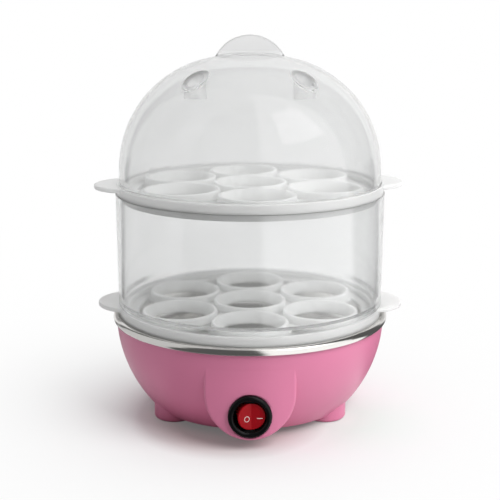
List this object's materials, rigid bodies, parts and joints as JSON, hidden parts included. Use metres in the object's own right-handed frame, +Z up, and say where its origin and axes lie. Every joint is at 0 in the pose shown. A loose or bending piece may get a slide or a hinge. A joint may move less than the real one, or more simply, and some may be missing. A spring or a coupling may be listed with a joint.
{
  "type": "electric egg steamer",
  "caption": "Round electric egg steamer: moulded base with rocker switch and steel heating tray, stacked egg racks, clear drum and dome lid with a fin handle.",
  "frame": {"origin": "on the surface that the feet stand on, on the vertical axis of the pot", "axes": "+Z up, the switch faces -Y, the racks' ears lie along X"},
  "size_m": [0.179, 0.161, 0.2166],
  "materials": {
    "pink_plastic": "glossy pink moulding",
    "white_plastic": "plain moulded",
    "milky_plastic": "milky white, satin",
    "clear_plastic": "clear, slightly smoky moulding",
    "stainless_steel": "polished stainless",
    "zinc_steel": "zinc plated",
    "aluminium": "dull",
    "ceramic": "unglazed ceramic",
    "black_moulding": "thermoset moulding",
    "glass_fibre_sleeve": "woven glass fibre",
    "clear_sleeve": "nylon",
    "brown_lead": "silicone insulation",
    "white_lead": "silicone insulation",
    "blue_lead": "silicone insulation",
    "black_rubber": "soft moulding",
    "black_gloss": "glossy black",
    "brass": "plain",
    "copper": "plain copper",
    "lamp_glass": "neon lamp",
    "red_gloss": "translucent red"
  },
  "bodies": {
    "base": {"base_shell": "pink_plastic", "bottom_cover": "white_plastic", "cover_screws": "zinc_steel", "tie_screws": "zinc_steel", "heating_tray": "stainless_steel", "tray_brackets": "zinc_steel", "heat_spreader": "aluminium", "heating_element": "aluminium", "element_seals": "ceramic", "element_tabs": "zinc_steel", "plate_studs": "zinc_steel", "thermostat": "black_moulding", "thermostat_clamp": "zinc_steel", "stud_nuts": "zinc_steel", "thermal_fuse": "glass_fibre_sleeve", "fuse_clip": "zinc_steel", "earth_tab": "zinc_steel", "push_on_terminals": "clear_sleeve", "lead_switch_to_thermostat": "brown_lead", "lead_thermostat_to_fuse": "white_lead", "lead_fuse_to_element": "white_lead", "lead_element_to_switch": "blue_lead", "cord_grommet": "black_rubber", "cord_clamp": "white_plastic", "clamp_screws": "zinc_steel", "switch_housing": "black_gloss", "switch_terminals": "brass", "switch_lamp": "lamp_glass"},
    "rocker": {"rocker_button": "red_gloss", "switch_plunger": "brass", "switch_spring": "zinc_steel"},
    "contact": {"contact_lever": "copper"},
    "lower_rack": {"lower_rack": "milky_plastic"},
    "drum": {"drum": "clear_plastic"},
    "upper_rack": {"upper_rack": "milky_plastic"},
    "lid": {"lid": "clear_plastic"}
  },
  "joints": [
    {"name": "rocker_tilt", "type": "hinge", "parent": "base", "child": "rocker", "pos_m": [0, -0.0735, 0.0191], "axis": [0, 0, 1], "range_deg": [-22, 0]},
    {"name": "contact_rock", "type": "hinge", "parent": "base", "child": "contact", "pos_m": [0, -0.06385, 0.0191], "axis": [0, 0, 1], "range_deg": [0, 14]},
    {"name": "lower_rack_lift", "type": "slide", "parent": "base", "child": "lower_rack", "axis": [0, 0, 1], "range_m": [0, 0.06]},
    {"name": "drum_lift", "type": "slide", "parent": "lower_rack", "child": "drum", "axis": [0, 0, 1], "range_m": [0, 0.09]},
    {"name": "upper_rack_lift", "type": "slide", "parent": "drum", "child": "upper_rack", "axis": [0, 0, 1], "range_m": [0, 0.06]},
    {"name": "lid_lift", "type": "slide", "parent": "upper_rack", "child": "lid", "axis": [0, 0, 1], "range_m": [0, 0.1]}
  ],
  "couplings": [
    {"joint": "contact_rock", "follows": "rocker_tilt", "ratio": -0.63636}
  ]
}
